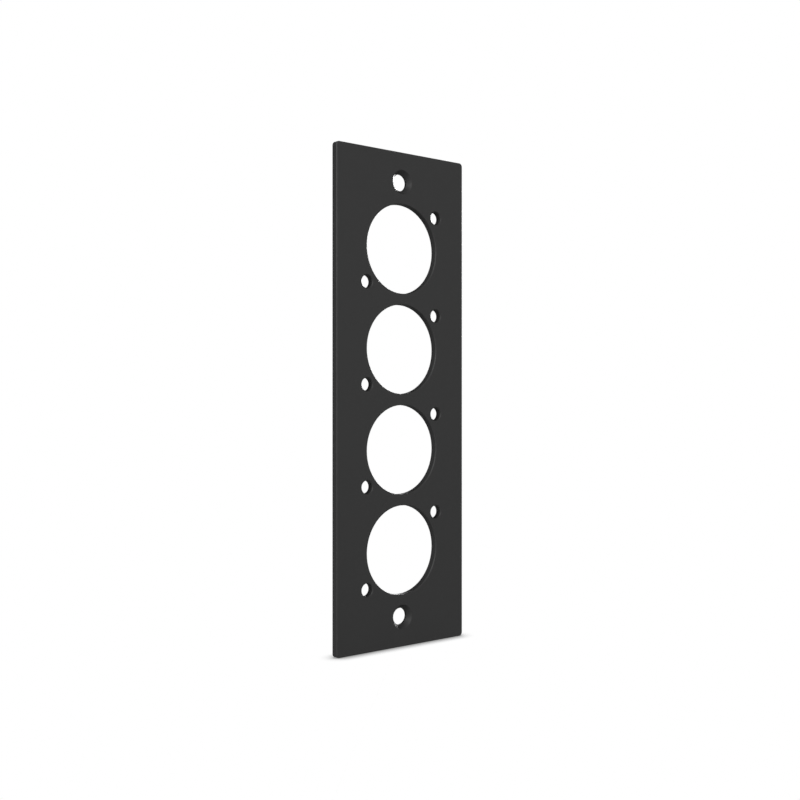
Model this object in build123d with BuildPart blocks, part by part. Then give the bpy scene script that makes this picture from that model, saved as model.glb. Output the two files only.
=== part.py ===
from build123d import *
import os

# A flat plate that fills one place of a modular rack frame. It carries a column of round flanged
# connectors. Each sits in a large hole, with two fixing holes on a diagonal across it, and one
# countersunk screw past each end of the column holds the plate to the frame. It is cut from one
# sheet, and it is flat all over.
#
# Seen from the front, X runs to the right and Z runs up, and the front looks along -Y. The origin
# is the middle of the back face, which lies against the frame. Lengths are in millimetres and
# angles in degrees. As sized here, the plate is 44 wide and 133 tall.

# The sheet. Its outline and its large holes are rounded on the front, where they show. The small
# holes, and every edge on the back, are only broken.
sheet_thickness = 2.0
corner_radius = 1.0
edge_rounding = 0.3
edge_break = 0.2
edge_break_angle = 90.0

# One connector. Its body passes through the hole, and its flange covers the front of the plate
# round it. The flange is wider than the hole by a lip on each side. The connectors lie on their
# side in the upright plate, so a flange is wider than it is tall.
connector_count = 4
connector_hole_diameter = 24.0
side_lip = 3.5
top_lip = 1.0
flange_gap = 1.0

# The screws of a connector go through two opposite corners of its flange
fixing_hole_diameter = 3.5
fixing_hole_inset = 3.5

# The screws that hold the plate. The countersink is a cone that is wider than the hole by the
# same width all round, so that the screw's head sits in the front.
frame_screw_hole_diameter = 4.5
countersink_width = 1.05
countersink_angle = 82.0
flange_to_frame_screw = 5.0
frame_screw_to_end = 8.0

# The plate beside the flanges
side_margin = 6.5

# Sizes that follow from those above
flange_width = connector_hole_diameter + 2 * side_lip
flange_height = connector_hole_diameter + 2 * top_lip
connector_pitch = flange_height + flange_gap
fixing_hole_across = flange_width / 2 - fixing_hole_inset
fixing_hole_up = flange_height / 2 - fixing_hole_inset
column_height = connector_count * connector_pitch - flange_gap
frame_screw_spacing = column_height + 2 * flange_to_frame_screw
plate_width = flange_width + 2 * side_margin
plate_height = frame_screw_spacing + 2 * frame_screw_to_end

connector_hole_radius = connector_hole_diameter / 2
fixing_hole_radius = fixing_hole_diameter / 2
frame_screw_hole_radius = frame_screw_hole_diameter / 2

# Plane.XZ looks along -Y, with its x to the right and its y up, so the sheet rises from the back
# face to the front.
back_plane = Plane.XZ
front_plane = back_plane.offset(sheet_thickness)

with BuildPart() as panel:
    # The blank, with its four corners rounded
    with BuildSketch(back_plane) as outline:
        RectangleRounded(plate_width, plate_height, corner_radius)
    extrude(amount=sheet_thickness)

    with Locations(front_plane):
        # One place for each connector: the large hole, and the fixing holes at its upper right
        # and lower left
        with GridLocations(plate_width, connector_pitch, 1, connector_count):
            Hole(connector_hole_radius)
            with Locations(
                (fixing_hole_across, fixing_hole_up),
                (-fixing_hole_across, -fixing_hole_up),
            ):
                CounterSinkHole(
                    fixing_hole_radius,
                    fixing_hole_radius + edge_break,
                    counter_sink_angle=edge_break_angle,
                )

        # The frame screws, on the centre line
        with GridLocations(plate_width, frame_screw_spacing, 1, 2):
            CounterSinkHole(
                frame_screw_hole_radius,
                frame_screw_hole_radius + countersink_width,
                counter_sink_angle=countersink_angle,
            )

    # The back's edges are broken first, and then the front's outline and large rims are rounded
    back_face = panel.faces().sort_by(Axis.Y)[-1]
    chamfer(back_face.edges(), length=edge_break)

    front_face = panel.faces().sort_by(Axis.Y)[0]
    front_rims = front_face.edges().filter_by(GeomType.CIRCLE)
    large_rims = front_rims.group_by(SortBy.RADIUS)[-1]
    fillet(front_face.outer_wire().edges() + large_rims, radius=edge_rounding)

os.makedirs("parts", exist_ok=True)
panel.part.label = "panel"
export_step(panel.part, "parts/panel.step")
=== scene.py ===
import bpy
import math
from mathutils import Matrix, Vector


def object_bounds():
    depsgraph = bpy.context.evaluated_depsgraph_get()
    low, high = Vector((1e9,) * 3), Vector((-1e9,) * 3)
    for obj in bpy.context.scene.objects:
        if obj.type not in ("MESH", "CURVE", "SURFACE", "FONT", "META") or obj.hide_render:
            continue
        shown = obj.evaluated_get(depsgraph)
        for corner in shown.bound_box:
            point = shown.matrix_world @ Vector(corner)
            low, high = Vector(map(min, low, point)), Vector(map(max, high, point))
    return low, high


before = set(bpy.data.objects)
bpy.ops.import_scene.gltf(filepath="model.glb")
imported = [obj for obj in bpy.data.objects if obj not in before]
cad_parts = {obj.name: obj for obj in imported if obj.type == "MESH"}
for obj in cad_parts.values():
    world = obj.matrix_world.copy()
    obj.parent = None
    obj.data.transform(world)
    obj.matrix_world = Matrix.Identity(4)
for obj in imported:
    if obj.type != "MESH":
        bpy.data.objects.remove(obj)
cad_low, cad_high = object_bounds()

# The camera. The panel stands upright on the floor and is seen from its own left, turned well
# off square, with the camera level with its middle, so that no upright line leans.
camera_lens = 49.485
camera_sensor = 36.0
camera_turn = math.radians(-39.775)
camera_place = (-0.18984, -0.22902, -0.00013)
nearest_seen = 0.005
farthest_seen = 50.0

bpy.ops.object.select_all(action="DESELECT")
bpy.ops.object.camera_add(location=camera_place, rotation=(math.radians(90), 0, camera_turn))
camera = bpy.context.object
camera.name = "camera"
camera.data.lens = camera_lens
camera.data.sensor_width = camera_sensor
camera.data.clip_start = nearest_seen
camera.data.clip_end = farthest_seen
bpy.context.scene.camera = camera


# The panel. One steel sheet, cut to its outline and holes, with its edges rounded and its two
# frame screw holes countersunk, and then powder coated all over, also inside the holes. Its
# shape is the CAD node's own.
def srgb(hex_code):
    channels = [int(hex_code[i:i + 2], 16) / 255 for i in (1, 3, 5)]
    linear = [c / 12.92 if c <= 0.04045 else ((c + 0.055) / 1.055) ** 2.4 for c in channels]
    return (*linear, 1.0)


def add_node(tree, kind, settings=None, links=None):
    node = tree.nodes.new(kind)
    for name, value in (settings or {}).items():
        if isinstance(name, int) or name in node.inputs:
            node.inputs[name].default_value = value
        else:
            setattr(node, name, value)
    for name, socket in (links or {}).items():
        tree.links.new(socket, node.inputs[name])
    return node


# Black polyester powder coat, sprayed on dry and baked until it flows. The eye sees a matt,
# neutral black with a fine grain and a long low ripple where the powder ran together. The coat
# pulls thin over the rounded edges and in the countersinks, and has a soft shine there. The real
# grain is about 0.1 mm. It is drawn at 0.35 mm, to show.
coat_dark = "#343434"
coat_light = "#363636"
coat_matt = 0.58
coat_smooth = 0.52
coat_edge = 0.48
coat_ior = 1.5
coat_specular = 0.3
grain_size = 0.35e-3
grain_height = 1.8e-6
grain_detail = 1.0
ripple_size = 2.2e-3
ripple_height = 6.0e-6
ripple_detail = 0.0
mottle_size = 9.0e-3
mottle_detail = 3.0
mottle_unevenness = 0.55

# Nearly all of a noise pattern lies between these two values
noise_low = 0.3
noise_high = 0.7

powder_coat = bpy.data.materials.new("black_powder_coat")
powder_coat.use_nodes = True
tree = powder_coat.node_tree
tree.nodes.clear()
place = add_node(tree, "ShaderNodeTexCoord")
mottle = add_node(tree, "ShaderNodeTexNoise",
                  {"Scale": 1 / mottle_size, "Detail": mottle_detail,
                   "Roughness": mottle_unevenness},
                  {"Vector": place.outputs["Object"]})
grain = add_node(tree, "ShaderNodeTexNoise",
                 {"Scale": 1 / grain_size, "Detail": grain_detail},
                 {"Vector": place.outputs["Object"]})
ripple = add_node(tree, "ShaderNodeTexNoise",
                  {"Scale": 1 / ripple_size, "Detail": ripple_detail},
                  {"Vector": place.outputs["Object"]})
colour = add_node(tree, "ShaderNodeMix",
                  {"data_type": "RGBA", 6: srgb(coat_dark), 7: srgb(coat_light)},
                  {0: mottle.outputs["Fac"]})
matt = add_node(tree, "ShaderNodeMapRange",
                {"From Min": noise_low, "From Max": noise_high,
                 "To Min": coat_smooth, "To Max": coat_matt},
                {"Value": mottle.outputs["Fac"]})

# How flat the sheet is there: 1 on its faces and square cut walls, whose normal lies along the
# sheet's thickness or across it, and 0 on an edge or cone that leans half way between
normal = add_node(tree, "ShaderNodeSeparateXYZ", None, {"Vector": place.outputs["Normal"]})
lean = add_node(tree, "ShaderNodeMath", {"operation": "MULTIPLY"},
                {0: normal.outputs["Y"], 1: normal.outputs["Y"]})
centred = add_node(tree, "ShaderNodeMath", {"operation": "MULTIPLY_ADD", 1: 2.0, 2: -1.0},
                   {0: lean.outputs[0]})
flatness = add_node(tree, "ShaderNodeMath", {"operation": "MULTIPLY"},
                    {0: centred.outputs[0], 1: centred.outputs[0]})
roughness = add_node(tree, "ShaderNodeMix", {"data_type": "FLOAT", 2: coat_edge},
                     {0: flatness.outputs[0], 3: matt.outputs["Result"]})
ripple_bump = add_node(tree, "ShaderNodeBump",
                       {"Strength": 1.0, "Distance": ripple_height},
                       {"Height": ripple.outputs["Fac"]})
grain_bump = add_node(tree, "ShaderNodeBump",
                      {"Strength": 1.0, "Distance": grain_height},
                      {"Height": grain.outputs["Fac"], "Normal": ripple_bump.outputs["Normal"]})
coat = add_node(tree, "ShaderNodeBsdfPrincipled",
                {"IOR": coat_ior, "Specular IOR Level": coat_specular},
                {"Base Color": colour.outputs[2], "Roughness": roughness.outputs[0],
                 "Normal": grain_bump.outputs["Normal"]})
add_node(tree, "ShaderNodeOutputMaterial", None, {"Surface": coat.outputs["BSDF"]})

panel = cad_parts["panel"]
for slot in panel.material_slots:
    slot.material = powder_coat


# The background is white to the camera, through anything clear and in anything polished. A matt
# surface scatters what it reflects, so it sees the floor as the lamps light it.
def white_background(tree):
    rays = add_node(tree, "ShaderNodeLightPath")
    polished = add_node(tree, "ShaderNodeMath", {"operation": "MULTIPLY"},
                        {0: rays.outputs["Is Glossy Ray"], 1: rays.outputs["Is Singular Ray"]})
    clear = add_node(tree, "ShaderNodeMath", {"operation": "MAXIMUM"},
                     {0: rays.outputs["Is Transmission Ray"], 1: polished.outputs[0]})
    seen = add_node(tree, "ShaderNodeMath", {"operation": "MAXIMUM"},
                    {0: rays.outputs["Is Camera Ray"], 1: clear.outputs[0]})
    return seen.outputs[0]


# The floor. A wide, plain, pale sheet, which the panel stands on. The camera sees it white, with
# a narrow soft painted shadow at the panel's foot: its white glow is dimmed where the panel shuts
# in the floor, not by the lamps. Its colour is what the lamps light and the panel sees.
floor_colour = "#a6a6a6"
floor_span = 12.0
painted_foot_shadow_reach = 0.0041
painted_foot_shadow_depth = 0.33

# How much of the room the floor sees: half of it right at the panel, where the painted shadow is
# deepest, and nearly all of it where the painted shadow ends
seen_at_panel = 0.5
seen_in_open = 0.97

bpy.ops.object.select_all(action="DESELECT")
bpy.ops.mesh.primitive_plane_add(size=floor_span, location=(0, 0, cad_low.z))
bpy.ops.object.transform_apply(location=True, rotation=True, scale=True)
floor = bpy.context.object
floor.name = "floor"

floor_painted_shadow = bpy.data.materials.new("pale_floor_painted_shadow")
floor_painted_shadow.use_nodes = True
tree = floor_painted_shadow.node_tree
tree.nodes.clear()
# Painted shadow: the floor's white glow is dimmed by how shut in each point is, not by any lamp's
# shadow
foot = add_node(tree, "ShaderNodeAmbientOcclusion", {"Distance": painted_foot_shadow_reach})
painted_shadow = add_node(tree, "ShaderNodeMapRange",
                  {"From Min": seen_at_panel, "From Max": seen_in_open,
                   "To Min": painted_foot_shadow_depth, "To Max": 1.0},
                  {"Value": foot.outputs["AO"]})
white = add_node(tree, "ShaderNodeEmission", None, {"Strength": painted_shadow.outputs["Result"]})
pale = add_node(tree, "ShaderNodeBsdfDiffuse", {"Color": srgb(floor_colour)})
surface = add_node(tree, "ShaderNodeMixShader", None,
                   {0: white_background(tree), 1: pale.outputs["BSDF"],
                    2: white.outputs["Emission"]})
add_node(tree, "ShaderNodeOutputMaterial", None, {"Surface": surface.outputs["Shader"]})
floor.data.materials.append(floor_painted_shadow)


# The light. Four soft boxes stand two metres away: the key on the camera's side, one far to the
# left, which draws the edges, a weak wide one on the right, and one behind on the right, for the
# back and the right side.
lamp_distance = 2.0

# A lamp has its degrees to the left of the front and up, its span in metres, and its strength,
# which is what a white surface that faces it shows
lamps = {
    "key": (20, 20, 0.62, 0.56),
    "side": (80, 25, 0.62, 0.54),
    "fill": (-40, 10, 0.80, 0.09),
    "back": (-126, 12, 0.62, 0.70),
}

for name, (left_of_front, rise, span, strength) in lamps.items():
    turn, lift = math.radians(left_of_front), math.radians(rise)
    bpy.ops.object.light_add(type="AREA")
    lamp = bpy.context.object
    lamp.name = name
    lamp.data.shape = "SQUARE"
    lamp.data.size = span
    lamp.data.energy = strength * (math.pi * lamp_distance) ** 2
    lamp.location = (-lamp_distance * math.sin(turn) * math.cos(lift),
                     -lamp_distance * math.cos(turn) * math.cos(lift),
                     lamp_distance * math.sin(lift))
    lamp.rotation_euler = lamp.location.to_track_quat("Z", "Y").to_euler()

# The room is white where it is seen, and gives no light of its own
room = bpy.data.worlds.new("room")
bpy.context.scene.world = room
room.use_nodes = True
tree = room.node_tree
tree.nodes.clear()
backdrop = add_node(tree, "ShaderNodeBackground", {"Color": (1, 1, 1, 1)},
                    {"Strength": white_background(tree)})
add_node(tree, "ShaderNodeOutputWorld", None, {"Surface": backdrop.outputs["Background"]})

bpy.context.scene.view_settings.view_transform = "Standard"
